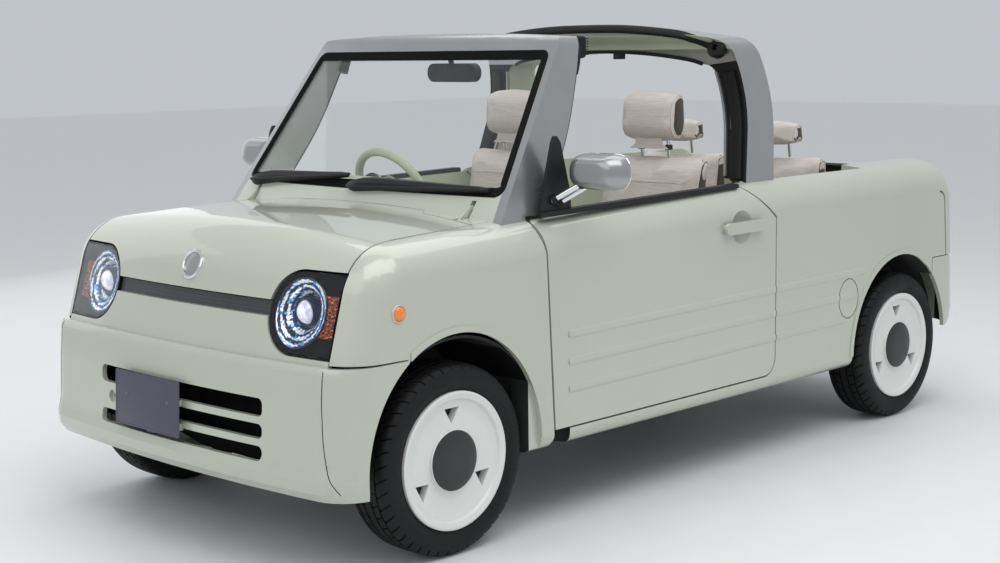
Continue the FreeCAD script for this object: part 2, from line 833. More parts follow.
# Hood hinges: a goose-necked ear on the hood turns on a short pin in the cowl

ear_half = 4.0
hinge_x_hood = hinge_rear_x
hinge_z_hood = size["hood_hinge_height"]
pin_radius = size["hinge_pin_radius"]
for side in (1, -1):
    y = side * size["hood_hinge_offset"]
    ear = along_y(
        [(hinge_x_hood - 11.0, hinge_z_hood - 11.0), (hood_step_x + 20.0, 905.0),
         (hood_step_x + 90.0, 905.0),
         (hood_step_x + 90.0, 960.0), (hood_step_x + 22.0, 960.0), (hood_step_x + 4.0, 922.0),
         (hinge_x_hood + 11.0, hinge_z_hood + 11.0), (hinge_x_hood - 11.0, hinge_z_hood + 11.0)],
        [8.0, 0.0, 0.0, 0.0, 0.0, 12.0, 8.0, 8.0], y - ear_half, y + ear_half)
    hood_ear = ear.cut(Part.makeCylinder(pin_radius + size["pin_clearance"], 4 * ear_half,
                                         vec(hinge_x_hood, y - 2 * ear_half, hinge_z_hood), vec(0, 1, 0)))
    hood_ear = hood_ear.cut(box(hood_step_x + 6.0, 1800.0, -wide, wide, 930.0, wide))
    hood_shape = hood_shape.fuse(hood_ear)
    pocket = box(hinge_x_hood - 20.0, hood_step_x + 30.0, y - ear_half - gap, y + ear_half + gap,
                 hinge_z_hood - 70.0, hinge_z_hood + 24.0)
    cowl_shape = cowl_shape.cut(pocket)
    frame_shape = frame_shape.cut(pocket)
    pin = Part.makeCylinder(pin_radius, 2 * (ear_half + gap) + 12.0,
                            vec(hinge_x_hood, y - ear_half - gap - 6.0, hinge_z_hood), vec(0, 1, 0))
    cowl_shape = cowl_shape.fuse(pin)
hood_shape = max(hood_shape.removeSplitter().Solids, key=lambda solid: solid.Volume)
cowl_shape = cowl_shape.removeSplitter()
keep("hood", hood_shape)
keep("cowl_panel", cowl_shape)
keep("windscreen_frame", frame_shape)

# Wiper covers: two wide tapered arms that lie on the cowl


def wiper(pivot, tip):
    """Tapered cover from its pivot to its tip, each given as (y, height) on the screen's face."""
    faces = []
    profile = ((0.0, 0.75, 0.62, -5.0), (0.04, 1.05, 0.92, -4.0), (0.1, 1.2, 1.08, 0.0),
               (0.18, 1.15, 1.1, 3.0),
               (0.3, 1.0, 1.0, 4.0), (0.5, 0.9, 0.86, 2.0), (0.65, 0.78, 0.74, 1.0), (0.8, 0.66, 0.62, 0.0),
               (0.93, 0.56, 0.5, 0.0), (1.0, 0.4, 0.36, -1.0))
    for share, tall, deep, lift in profile:
        y = pivot[0] + (tip[0] - pivot[0]) * share
        z = pivot[1] + (tip[1] - pivot[1]) * share + lift
        radius = size["screen_crown_radius"]
        x = screen_face_x(z, 0.0) - (radius - math.sqrt(radius ** 2 - y ** 2))
        along = vec(-screen_lean, 0, 1).normalize()
        outward = vec(1, 0, screen_lean).normalize()
        base = vec(x, y, z) + outward * 0.9
        deep_half = along * (size["wiper_deep"] * deep / 2)
        rise = outward * (size["wiper_tall"] * tall)
        corners = [base - deep_half, base + deep_half, base + deep_half * 0.86 + rise * 0.55,
                   base + deep_half * 0.34 + rise, base - deep_half * 0.42 + rise,
                   base - deep_half * 0.9 + rise * 0.55]
        faces.append(Part.makePolygon(corners + corners[:1]))
    return Part.makeLoft(faces, True, True)


keep("wipers", Part.makeCompound([wiper((-566.0, 1004.0), (-60.0, 1040.0)),
                                  wiper((-30.0, 1012.0), (566.0, 1020.0))]))

# Front bumper: rings of the plan outline, lofted from bottom to top


def bumper_ring(height, face_x, sign, thickness, rear_x, width, corner_radius):
    """Closed outline of the bumper at one height: crowned face, round corners, straight sides."""

    def run(offset):
        crown = size["crown_radius"] - offset
        corner = corner_radius - offset
        reach = width - corner_radius
        turn = math.asin(reach / (size["crown_radius"] - corner_radius))
        centre_x = size["crown_radius"] - (size["crown_radius"] - corner_radius) * math.cos(turn)
        middle = (math.pi / 2 + turn) / 2

        def at(y, drop):
            return vec(sign * (face_x - drop), y, height)

        edge = (crown * math.sin(turn), size["crown_radius"] - crown * math.cos(turn))
        bend = (reach + corner * math.sin(middle), centre_x - corner * math.cos(middle))
        side = (reach + corner, centre_x)
        return at, edge, bend, side, offset

    edges = []
    ends = []
    for offset in (0.0, thickness):
        at, edge, bend, side, drop = run(offset)
        tail = face_x - rear_x
        edges.append(Part.LineSegment(at(-side[0], tail), at(-side[0], side[1])).toShape())
        edges.append(Part.Arc(at(-side[0], side[1]), at(-bend[0], bend[1]), at(-edge[0], edge[1])).toShape())
        edges.append(Part.Arc(at(-edge[0], edge[1]), at(0, drop), at(edge[0], edge[1])).toShape())
        edges.append(Part.Arc(at(edge[0], edge[1]), at(bend[0], bend[1]), at(side[0], side[1])).toShape())
        edges.append(Part.LineSegment(at(side[0], side[1]), at(side[0], tail)).toShape())
        ends.append((at(-side[0], tail), at(side[0], tail)))
    for outer, inner in zip(ends[0], ends[1]):
        edges.append(Part.LineSegment(outer, inner).toShape())
    return Part.Wire(Part.__sortEdges__(edges))


def bumper(levels, sign, thickness, rear_x, width, corner_radius):
    rings = [bumper_ring(height, face_x, sign, thickness, rear_x, width, corner_radius) for height,
             face_x in levels]
    return Part.makeLoft(rings, True, True)


front_levels = [
    (size["bumper_bottom_height"], nose_x - 24.0),
    (size["bumper_bottom_height"] + 24.0, nose_x - 6.0),
    (size["chin_height"], nose_x),
    (size["chin_height"] + 45.0, nose_x - 13.0),
    (480.0, nose_x - 20.0),
    (bumper_top - 26.0, nose_x - 28.0),
    (bumper_top - seam, nose_x - 40.0),
]
front_bumper = bumper(front_levels, 1, size["bumper_skin"], 1250.0, size["bumper_half_width"],
                      size["bumper_corner_radius"])
front_bumper = front_bumper.cut(front_arch(0.0)).cut(mirrored(front_arch(0.0)))
for index in range(3):
    low = size["slot_bottom_height"] + index * size["slot_pitch"]
    left_end = size["slot_left_reach"]
    right_end = size["slot_right_reach"] - (size["tow_panel_width"] if index == 1 else 0.0)
    high = low + size["slot_tall"] + (size["slot_top_extra"] if index == 2 else 0.0)
    slot = along_x([(-right_end, low), (left_end, low), (left_end, high), (-right_end, high)],
                   size["slot_corner_radius"], nose_x - 197.5, nose_x + 100.0)
    front_bumper = front_bumper.cut(slot)
tow_y = size["tow_panel_width"] / 2 - size["slot_right_reach"] + 6.0
tow_z = size["slot_bottom_height"] + size["slot_pitch"] + size["slot_tall"] / 2
tow_face_x = nose_x - 20.0 - (size["crown_radius"] - math.sqrt(size["crown_radius"] ** 2 - tow_y ** 2))
tow_boss = rod(vec(tow_face_x - size["tow_hole_depth"] - 14.0, tow_y, tow_z),
               vec(tow_face_x - 8.0, tow_y, tow_z),
               size["tow_hole_radius"] + 8.0)
front_bumper = front_bumper.fuse(tow_boss)
front_bumper = front_bumper.cut(rod(vec(tow_face_x - 8.0 - size["tow_hole_depth"], tow_y, tow_z),
                                    vec(tow_face_x + 60.0, tow_y, tow_z), size["tow_hole_radius"]))
front_bumper = front_bumper.cut(rod(vec(tow_face_x - 8.0, tow_y, tow_z),
                                    vec(tow_face_x + 60.0, tow_y, tow_z),
                                    size["tow_recess_radius"]))
front_bumper = front_bumper.common(box(bumper_split_x, nose_x + 100.0, -wide, wide, 0.0, wide))

# Grille bar, set back between the lamps

bar_spans = over_spans[:1]
bar_half_width = size["lamp_offset"] - size["lamp_radius"] + 22.0
bar_deep = size["skin"] + 26.0
bar_shape = skin_along(bar_spans, bar_deep, 20.0).cut(skin_along(bar_spans, size["bar_recess"], 30.0))
bar_shape = bar_shape.common(box(1400.0, 1800.0, -bar_half_width, bar_half_width, size["bar_bottom_height"],
                                 hood_low - gap))
bar_shape = bar_shape.cut(lamp_spaces)
keep("grille_bar", bar_shape)

# Headlamps: a dark housing with a round bowl, and a clear lens flush with the skin

lamp_back_x = nose_x - 255.0
lens_shell = skin_along(front_spans, size["lens_thickness"], 22.0)
lens = lens_shell.common(lamp_block(0.0, lamp_back_x, 1800.0)).common(left_front)
housing = lamp_block(-0.5, lamp_back_x, nose_x - 60.0)
shadow = skin_along(front_spans, 20.0, 30.0)
housing = housing.cut(shadow)
housing = max(housing.Solids, key=lambda solid: solid.Volume)
bowl = Part.makeCone(size["lamp_bowl_radius"] * 0.45, size["lamp_bowl_radius"] * 1.18, 130.0,
                     vec(lamp_back_x + 45.0, size["lamp_offset"], size["lamp_height"]), vec(1, 0, 0))
projector = Part.makeCylinder(30.0, 52.0, vec(lamp_back_x + 40.0, size["lamp_offset"], size["lamp_height"]),
                              vec(1, 0, 0))
housing = housing.cut(bowl).fuse(projector)
rim = lamp_block(-0.5, lamp_back_x, 1800.0).cut(lamp_block(-6.0, lamp_back_x, 1800.0))
rim = rim.common(shadow).cut(skin_along(front_spans, size["lens_thickness"], 24.0))
housing = housing.fuse(rim.common(left_front)).removeSplitter()
keep("headlamp_lenses", both(lens))
keep("headlamp_housings", both(max(housing.Solids, key=lambda solid: solid.Volume)))

# Side walls: hinge pillar, sill, quarter with its arch, and the rounded rear corner

inner_y = half_width - size["wall"]
left_side = box(-wide, wide, inner_y, wide, size["sill_height"], wide)
wall_shape = belt_wall.common(left_side)
rear_skin_shape = tail_skin.common(box(-wide, -1000.0, size["gate_half_width"] + gap, wide,
                                       size["sill_height"], wide))
tail_slab = side_slab(
    rear_spans,
    [(tail_foot[0] + 60.0, size["sill_height"]), (rear_spans[0][1].x, size["sill_height"])],
    inner_y,
    half_width,
)
side_shape = wall_shape.fuse([rear_skin_shape, tail_slab]).removeSplitter()
side_shape = side_shape.cut(door_block(gap, 300.0, wide)).cut(hinge_sweep(gap))
pillar_x = 905.0
side_shape = side_shape.cut(box(size["door_front_low_x"] - 40.0, wide, half_width - size["skin"], wide,
                                size["door_low_height"] - gap, wide))
side_shape = side_shape.cut(box(pillar_x, wide, 0.0, wide, 0.0, wide))
side_shape = side_shape.cut(box(size["door_front_low_x"] - 40.0, wide, 0.0, half_width - size["skin"], 0.0,
                                size["sill_height"]))
fender_low_space = box(size["door_front_low_x"] + 7.0, wide, half_width - size["skin"], wide, 0.0, wide)
side_shape = side_shape.cut(fender_low_space)
side_shape = side_shape.cut(skin_along(over_spans[2:3], size["skin"], 20.0).common(
    box(size["door_front_low_x"] + 7.0, wide, 0.0, wide, 0.0, wide)))
side_shape = side_shape.cut(rear_arch(0.0))
rear_split_x = rear_axle_x - 212.0
side_shape = side_shape.cut(along_y(
    [(rear_split_x + seam, 0.0), (rear_split_x + seam, bumper_top - 4.0), (rear_split_x - 5.0, bumper_top),
     (-1800.0, bumper_top), (-1800.0, 0.0)], 0.0, 0.0, wide))
side_shape = side_shape.fuse(arch_lip(rear_arch).common(box(rear_split_x + 8.0, 0.0, 0.0, wide, 0.0, wide)))


def ribs():
    """Three rounded bars along the door and the quarter, each shorter at the rear than the one above."""
    slope = math.tan(math.radians(size["rib_slope_deg"]))
    tall = size["rib_tall"]
    high = size["rib_height"]
    radius = (tall ** 2 / 4 + high ** 2) / (2 * high)
    solids = []
    for index in range(3):
        front_z = size["rib_top_front_height"] - index * size["rib_pitch"]
        rear_x = size["rib_rear_x"] + index * size["rib_rear_step"]
        rear_z = front_z + slope * (size["rib_front_x"] - rear_x)
        start = vec(size["rib_front_x"], rib_half_width - radius, front_z)
        end = vec(rear_x, rib_half_width - radius, rear_z)
        bar = rod(start, end, radius)
        outline = along_y(
            [(start.x, front_z - tall / 2), (start.x, front_z + tall / 2), (rear_x, rear_z + tall / 2),
             (rear_x, rear_z - tall / 2)], tall / 2 - 0.5, half_width - 3.0, wide)
        solids.append(bar.common(outline))
    return solids


rib_solids = ribs()
door_space = door_block(gap, 300.0, wide)
side_shape = side_shape.fuse([rib.cut(door_space) for rib in rib_solids]).removeSplitter()
side_shape = sill_tuck(side_shape)
side_shape = max(side_shape.Solids, key=lambda solid: solid.Volume)

# Doors: as thick as the whole wall, with ribs, a handle over its bowl, hinge bores and an inner panel

door_shape = belt_wall.common(door_block(0.0, inner_y, wide))
belt_cut = along_y(
    [(1300.0, belt_height(1300.0)), (-800.0, belt_height(-800.0)), (-800.0, 2000.0), (1300.0, 2000.0)],
    0.0, 0.0, wide)
door_shape = door_shape.cut(belt_cut)
door_shape = door_shape.common(box(-wide, wide, inner_y + gap, wide, 0.0, wide))
door_shape = door_shape.common(box(-wide, hinge_x, 0.0, wide, 0.0, wide).fuse(hinge_sweep(0.0)))
door_shape = door_shape.fuse([rib.common(door_block(0.0, 300.0, wide)) for rib in rib_solids])
card = along_y([(700.0, 400.0), (700.0, 820.0), (-220.0, 840.0), (-220.0, 400.0)], 40.0, 0.0,
               inner_y + gap + size["door_card_depth"])
door_shape = door_shape.cut(card)
handle_z = size["handle_height"]
bowl_centre = vec(size["handle_x"], half_width + 66.0, handle_z)
bowl_sphere = Part.makeSphere(math.hypot(size["handle_bowl_radius"], 66.0), bowl_centre)
door_shape = door_shape.cut(bowl_sphere)
handle_half = size["handle_length"] / 2
handle = along_y(
    [(size["handle_x"] - handle_half, handle_z - size["handle_tall"] / 2),
     (size["handle_x"] + handle_half, handle_z - size["handle_tall"] / 2),
     (size["handle_x"] + handle_half, handle_z + size["handle_tall"] / 2),
     (size["handle_x"] - handle_half, handle_z + size["handle_tall"] / 2)],
    size["handle_tall"] / 2 - 0.5, half_width + 10.0, half_width + size["handle_stand_off"])
posts = [Part.makeCylinder(14.0, 40.0, vec(size["handle_x"] + shift, half_width - 25.0, handle_z),
                           vec(0, 1, 0))
         for shift in (-handle_half + 20.0, handle_half - 20.0)]
door_shape = door_shape.fuse([handle] + posts).removeSplitter()

hinge_heights = (size["door_hinge_low_height"], size["door_hinge_high_height"])
pocket_half = size["door_hinge_pocket"] / 2
for height in hinge_heights:
    pocket = Part.makeCylinder(90.0, 2 * pocket_half, vec(hinge_x, hinge_y, height - pocket_half),
                               vec(0, 0, 1))
    pocket = pocket.common(box(hinge_x - 26.0, wide, 0.0, half_width - 9.0, 0.0, wide))
    door_shape = door_shape.cut(pocket)
    bore = Part.makeCylinder(pin_radius + size["pin_clearance"], 2 * pocket_half + 30.0,
                             vec(hinge_x, hinge_y, height - pocket_half - 15.0), vec(0, 0, 1))
    door_shape = door_shape.cut(bore)
    pin = Part.makeCylinder(pin_radius, 2 * pocket_half + 28.0,
                            vec(hinge_x, hinge_y, height - pocket_half - 14.0), vec(0, 0, 1))
    arm = Part.makeBox(95.0, 8.0, 20.0, vec(0, -4.0, -10.0))
    arm.rotate(vec(0, 0, 0), vec(0, 0, 1), -50.0)
    arm.translate(vec(hinge_x, hinge_y, height))
    arm = arm.common(box(-wide, pillar_x - 10.0, inner_y, wide, 0.0, wide))
    link = box(hinge_x + 28.0, hinge_x + 72.0, inner_y, inner_y + 8.0, height - 10.0, height + 10.0)
    side_shape = side_shape.fuse([pin, arm, link])
side_shape = side_shape.removeSplitter()

# Tailgate, hinged on pins in the rear corners

gate_hinge_x = tail_foot[0] + size["gate_hinge_in"] + 4.0
gate_hinge_z = size["gate_low_height"] + size["gate_hinge_up"]
gate_width = size["gate_half_width"]
gate = tail_skin.common(box(-wide, -1500.0, -gate_width, gate_width, size["gate_low_height"],
                            size["gate_top_height"]))
for side in (1, -1):
    bore = rod(vec(gate_hinge_x, side * (gate_width + 5.0), gate_hinge_z),
               vec(gate_hinge_x, side * (gate_width - 32.0),
                   gate_hinge_z), pin_radius + size["pin_clearance"])
    gate = gate.cut(bore)
gate_pin = rod(vec(gate_hinge_x, gate_width + gap + 10.0, gate_hinge_z),
               vec(gate_hinge_x, gate_width - 30.0, gate_hinge_z), pin_radius)
side_shape = side_shape.fuse(gate_pin).removeSplitter()
keep("tailgate", gate)
keep("door_left", door_shape)
keep("door_right", mirrored(door_shape))

# Tail lamps: round, let into the rear corners

lamp_y = (gate_width + gap + half_width) / 2 - 18.0
tail_lamp_z = size["tail_lamp_height"]
tail_lamp_back = tail_foot[0] + 110.0
tail_tool = rod(vec(tail_x - 60.0, lamp_y, tail_lamp_z), vec(tail_lamp_back, lamp_y, tail_lamp_z),
                size["tail_lamp_radius"])
tail_lamp = tail_skin.common(tail_tool)
tail_lamp = max(tail_lamp.Solids, key=lambda solid: solid.Volume)
side_shape = side_shape.cut(rod(vec(tail_x - 60.0, lamp_y, tail_lamp_z),
                                vec(tail_lamp_back + size["seat_clearance"], lamp_y, tail_lamp_z),
                                size["tail_lamp_radius"] + size["seat_clearance"]))
keep("tail_lamps", both(tail_lamp))
keep("side_body_left", side_shape)
keep("side_body_right", mirrored(side_shape))

# Rear bumper

rear_levels = [
    (size["rear_bumper_bottom_height"], nose_x - 26.0),
    (size["rear_bumper_bottom_height"] + 22.0, nose_x - 8.0),
    (size["rear_bumper_bottom_height"] + 70.0, nose_x),
    (470.0, nose_x - 6.0),
    (bumper_top - 26.0, nose_x - 12.0),
    (bumper_top - seam, nose_x - 22.0),
]
rear_bumper = bumper(rear_levels, -1, size["bumper_skin"], 1250.0, size["bumper_half_width"] - 2.5,
                     size["rear_bumper_corner_radius"])
rear_bumper = rear_bumper.cut(rear_arch(0.0)).cut(mirrored(rear_arch(0.0)))
rear_bumper = rear_bumper.common(box(-1800.0, rear_split_x, -wide, wide, 0.0, wide))

# Roll hoop: the front view and the side view of the hoop, both solid, and what they share


def hoop_front(leg, bar):
    """Front view of the hoop's outer or inner edge: leg and bar are how far it is moved in."""
    foot = size["hoop_foot_half_width"] - leg
    top = size["hoop_top_height"] - bar
    shoulder = size["hoop_shoulder_half_width"] - leg
    shoulder_z = top - size["hoop_top_drop"]
    points = [(foot, 900.0), (shoulder, shoulder_z), (shoulder * 0.5, top - size["hoop_top_drop"] * 0.25),
              (0.0, top), (-shoulder * 0.5, top - size["hoop_top_drop"] * 0.25), (-shoulder, shoulder_z),
              (-foot, 900.0)]
    radii = [0.0, size["hoop_corner_radius"] - leg * 0.4, 900.0, 3000.0, 900.0,
             size["hoop_corner_radius"] - leg * 0.4, 0.0]
    return along_x(points, radii, -700.0, 0.0)


hoop_top = size["hoop_top_height"]
hoop_side_points = [(-248.0, 900.0), (-248.0, 940.0), (-328.0, hoop_top - 249.0), (-258.0, hoop_top - 69.0),
                    (-186.0, hoop_top - 35.0), (-186.0, hoop_top + 29.0), (-350.0, hoop_top + 29.0),
                    (-398.0, hoop_top - 61.0), (-478.0, hoop_top - 232.0), (-416.0, 950.0), (-416.0, 900.0)]
hoop_side = along_y(hoop_side_points, [0, 0, 420.0, 60.0, 14.0, 0, 60.0, 60.0, 460.0, 0, 0], -900.0, 900.0)
hoop = hoop_front(0.0, 0.0).cut(hoop_front(size["hoop_leg_width"], size["hoop_bar_tall"]))
hoop = hoop.common(hoop_side)
hoop = hoop.cut(skin_along(over_spans[2:4] + over_spans[4:5], 90.0, 60.0))
hoop = hoop.cut(box(-700.0, 0.0, -wide, wide, 0.0, 940.0))
for side in (1, -1):
    hole_y = side * (size["hoop_shoulder_half_width"] - 52.0)
    hole = rod(vec(-100.0, hole_y, hoop_top - 59.0), vec(-262.0 - size["hoop_hole_depth"], hole_y,
                                                         hoop_top - 59.0),
               size["hoop_hole_radius"])
    hoop = hoop.cut(hole)
keep("roll_hoop", max(hoop.Solids, key=lambda solid: solid.Volume))

# Floor, firewall, seat base and load deck in one bent sheet, with the rear wheel houses

thick = size["floor_thickness"]
floor_low = size["floor_height"] - thick
fire_x = size["firewall_x"]
heel = size["heel_x"]
back_x = size["rear_seat_back_x"] - 40.0
deck_rear = size["deck_rear_x"] + 12.0
floor_points = [
    (fire_x, 1000.0), (fire_x, 470.0), (size["toe_x"] + 14.0, floor_low), (heel - thick, floor_low),
    (heel - thick, size["rear_seat_base_height"] - thick), (back_x - thick,
                                                            size["rear_seat_base_height"] - thick),
    (back_x - thick, size["deck_height"] - thick), (deck_rear + thick, size["deck_height"] - thick),
    (deck_rear + thick, 330.0), (deck_rear, 330.0), (deck_rear, size["deck_height"]),
    (back_x, size["deck_height"]), (back_x, size["rear_seat_base_height"]), (heel,
                                                                             size["rear_seat_base_height"]),
    (heel, size["floor_height"]), (size["toe_x"], size["floor_height"]), (fire_x - thick, 476.0),
    (fire_x - thick, 1000.0),
]
floor = along_y(floor_points, 0.0, -inner_y, inner_y)
house_radius = size["wheel_house_radius"]
house_skin = size["wheel_house_skin"]
house_y = 530.0
for side in (1, -1):
    start = vec(rear_axle_x, side * house_y, axle_height)
    end = vec(rear_axle_x, side * inner_y, axle_height)
    inner_wall = vec(rear_axle_x, side * (house_y - house_skin), axle_height)
    outer_drum = rod(inner_wall, end, house_radius + house_skin)
    inner_drum = rod(start, vec(end.x, side * (inner_y + 1.0), end.z), house_radius)
    house_low = size["rear_seat_base_height"] - thick
    house = outer_drum.cut(inner_drum).common(box(-wide, wide, -wide, wide, house_low, wide))
    floor = floor.cut(outer_drum).fuse(house)
tunnel = along_x([(-95.0, floor_low), (-80.0, 340.0), (80.0, 340.0), (95.0, floor_low)], [0, 30.0, 30.0, 0],
                 heel, size["toe_x"] + 30.0)
tunnel_hollow = along_x([(-95.0 + thick, 0.0), (-80.0 + thick, 340.0 - thick), (80.0 - thick, 340.0 - thick),
                         (95.0 - thick, 0.0)], 0.0, heel - 40.0, size["toe_x"] + 60.0)
floor = floor.fuse(tunnel).cut(tunnel_hollow)
skin_top = skin_along(over_spans[2:3], size["skin"], 20.0)
floor = floor.cut(skin_top).cut(skin_top.translated(vec(0, 0, 14.0))).cut(skin_top.translated(vec(0, 0,
                                                                                                  28.0)))
floor = floor.cut(skin_top.translated(vec(0, 0, 42.0)))
floor = max(floor.removeSplitter().Solids, key=lambda solid: solid.Volume)

# The fittings under the hood and behind the bumpers

bay_y = 366.0
bay_thick = 12.0
bay_rear = fire_x
bay_front = nose_x - 140.0
left_bay = box(bay_rear, bay_front, bay_y, bay_y + bay_thick, 300.0, 800.0)
left_bay = left_bay.cut(skin_along(front_spans, 60.0, 20.0))
liner = rod(vec(front_axle_x, bay_y + bay_thick, axle_height), vec(front_axle_x, half_width - size["skin"],
                                                                   axle_height), house_radius + house_skin)
liner = liner.cut(rod(vec(front_axle_x, 0.0, axle_height), vec(front_axle_x, wide, axle_height),
                      house_radius))
liner = liner.common(box(pillar_x, wide, 0.0, wide, 300.0, wide))
liner = liner.cut(box(1530.0, wide, half_width - size["skin"] - 8.0, wide, 0.0, 480.0))
low_point = vec(front_axle_x, size["kingpin_low_offset"], size["kingpin_low_height"])
high_point = vec(front_axle_x, size["kingpin_high_offset"], size["kingpin_high_height"])
kingpin = high_point - low_point
kingpin.normalize()


def on_kingpin(z):
    return low_point + kingpin * ((z - low_point.z) / kingpin.z)


tower_top = size["tower_top_height"]
tower_centre = on_kingpin(tower_top - 4.0)
tower_radius = size["tower_radius"]
tower = Part.makeCylinder(tower_radius, tower_top - 590.0, vec(front_axle_x, tower_centre.y, 590.0))
tower = tower.fuse(box(front_axle_x - tower_radius, front_axle_x + tower_radius, bay_y + 2.0, tower_centre.y,
                       590.0, tower_top))
tower = tower.cut(rod(vec(front_axle_x, 0.0, axle_height), vec(front_axle_x, wide, axle_height),
                      house_radius + 2.0))
tower_hollow = Part.makeCylinder(tower_radius - 8.0, tower_top - 560.0 - 9.0,
                                 vec(front_axle_x, tower_centre.y, 560.0))
pin_big = size["knuckle_pin_radius"]
cap_bore = rod(on_kingpin(tower_top - 40.0), on_kingpin(tower_top + 20.0), pin_big + size["pin_clearance"])
left_bay = left_bay.fuse([liner, tower]).cut(tower_hollow).cut(cap_bore)
bracket = box(lamp_back_x - 30.0, lamp_back_x, bay_y, 600.0, 640.0, 700.0)
bracket_arm = box(bay_front - 160.0, lamp_back_x, bay_y, bay_y + 60.0, 640.0, 700.0)
left_bay = left_bay.fuse([bracket, bracket_arm]).removeSplitter()
left_bay = max(left_bay.Solids, key=lambda solid: solid.Volume)
nose_tie = skin_along(over_spans[:1], 90.0, 20.0).cut(skin_along(over_spans[:1], bar_deep, 30.0))
nose_tie = nose_tie.common(box(1400.0, 1800.0, -bay_y - bay_thick, bay_y + bay_thick, 712.0, 745.0))
nose_back = skin_along(over_spans[:1], 90.0, 20.0).cut(skin_along(over_spans[:1], size["skin"], 30.0))
nose_tie = nose_tie.fuse(nose_back.common(box(1400.0, 1800.0, -bay_y - bay_thick, bay_y + bay_thick,
                                              620.0, 712.0)))
beam_low = size["beam_low_height"]
beam = box(nose_x - 110.0, nose_x, -560.0, 560.0, beam_low, beam_low + 46.0)
beam_edge = bumper(front_levels, 1, size["bumper_skin"], 1250.0, size["bumper_half_width"],
                   size["bumper_corner_radius"])
beam = beam.cut(beam_edge).cut(beam_edge.translated(vec(-size["seat_clearance"], 0, 0)))
beam = max(beam.Solids, key=lambda solid: solid.BoundBox.XMin * -1.0)
crash_box = box(bay_front - 60.0, nose_x - 105.0, bay_y - 30.0, bay_y + bay_thick, beam_low - 10.0,
                beam_low + 56.0)
low_member = box(bay_front - 60.0, bay_front, -bay_y - 1.0, bay_y + 1.0, 300.0, 340.0)
bay_shape = left_bay.fuse([mirrored(left_bay), crash_box, mirrored(crash_box), nose_tie, beam, low_member])
bay_shape = bay_shape.removeSplitter()

radiator = doc.addObject("Part::Box", "radiator")
radiator.setExpression("Length", "<<sizes>>.radiator_thickness")
radiator.setExpression("Width", "2 * <<sizes>>.radiator_half_width")
radiator.setExpression("Height", "<<sizes>>.radiator_tall")
radiator.Placement = FreeCAD.Placement(
    vec(bay_front - 60.0 + 10.0, -size["radiator_half_width"], 340.0), FreeCAD.Rotation())
radiator.Label = "radiator"
pieces["radiator"] = radiator

engine = doc.addObject("Part::Box", "engine_block")
engine.setExpression("Length", "<<sizes>>.engine_length")
engine.setExpression("Width", "<<sizes>>.engine_width")
engine.setExpression("Height", "<<sizes>>.engine_tall")
engine.Placement = FreeCAD.Placement(
    vec(size["engine_x"] - size["engine_length"] / 2, -size["engine_width"] / 2, size["engine_height"]),
    FreeCAD.Rotation())
engine.Label = "engine_block"
pieces["engine_block"] = engine

tank = doc.addObject("Part::Box", "fuel_tank")
tank.setExpression("Length", "<<sizes>>.tank_length")
tank.setExpression("Width", "<<sizes>>.tank_width")
tank.setExpression("Height", "<<sizes>>.tank_tall")
tank_top = size["rear_seat_base_height"] - thick
tank.Placement = FreeCAD.Placement(
    vec(-740.0 - size["tank_length"], -size["tank_width"] / 2,
        tank_top - size["tank_tall"]), FreeCAD.Rotation())
tank.Label = "fuel_tank"
pieces["fuel_tank"] = tank


def tube_path(points, radius, bend):
    """Round bar along a path whose corners are bent to a radius."""
    edges = []
    start = points[0]
    for index in range(1, len(points) - 1):
        here = points[index]
        back = points[index - 1] - here
        ahead = points[index + 1] - here
        back.normalize()
        ahead.normalize()
        half = back.getAngle(ahead) / 2
        reach = bend / math.tan(half)
        middle = back + ahead
        middle.normalize()
        first = here + back * reach
        last = here + ahead * reach
        edges.append(Part.LineSegment(start, first).toShape())
        edges.append(Part.Arc(first, here + middle * (bend / math.sin(half) - bend), last).toShape())
        start = last
    edges.append(Part.LineSegment(start, points[-1]).toShape())
    direction = points[1] - points[0]
    ring = Part.Wire([Part.makeCircle(radius, points[0], direction)])
    return Part.Wire(edges).makePipeShell([ring], True, True)


pipe_low = size["exhaust_height"]
muffler_centre = vec(-1400.0, 150.0, 320.0)
pipe_radius = size["exhaust_radius"]
pipe_bend = size["exhaust_bend_radius"]
pipe = tube_path([vec(1085.0, 0, 280.0), vec(-450.0, 0, 280.0), vec(-570.0, 0.0, pipe_low),
                  vec(-680.0, 80.0, pipe_low), vec(-800.0, 375.0, pipe_low), vec(-1290.0, 375.0, pipe_low),
                  vec(-1400.0, 340.0, 320.0), vec(-1400.0, 250.0, 320.0)], pipe_radius, pipe_bend)
half_muffler = size["muffler_length"] / 2
muffler = rod(muffler_centre - vec(0, half_muffler, 0), muffler_centre + vec(0, half_muffler, 0),
              size["muffler_radius"])
tail_pipe = tube_path([vec(-1400.0, -30.0, 320.0), vec(-1400.0, -140.0, 320.0), vec(-1520.0, -160.0, 212.0),
                       vec(-1655.0, -160.0, 212.0)], pipe_radius, pipe_bend)
hanger = rod(vec(-1400.0, 150.0, 380.0), vec(-1400.0, 150.0, size["deck_height"] - thick), 7.0)
exhaust = muffler.fuse([pipe, tail_pipe, hanger]).removeSplitter()
keep("exhaust", exhaust)

# Front subframe with its lower arms, and the steered knuckles

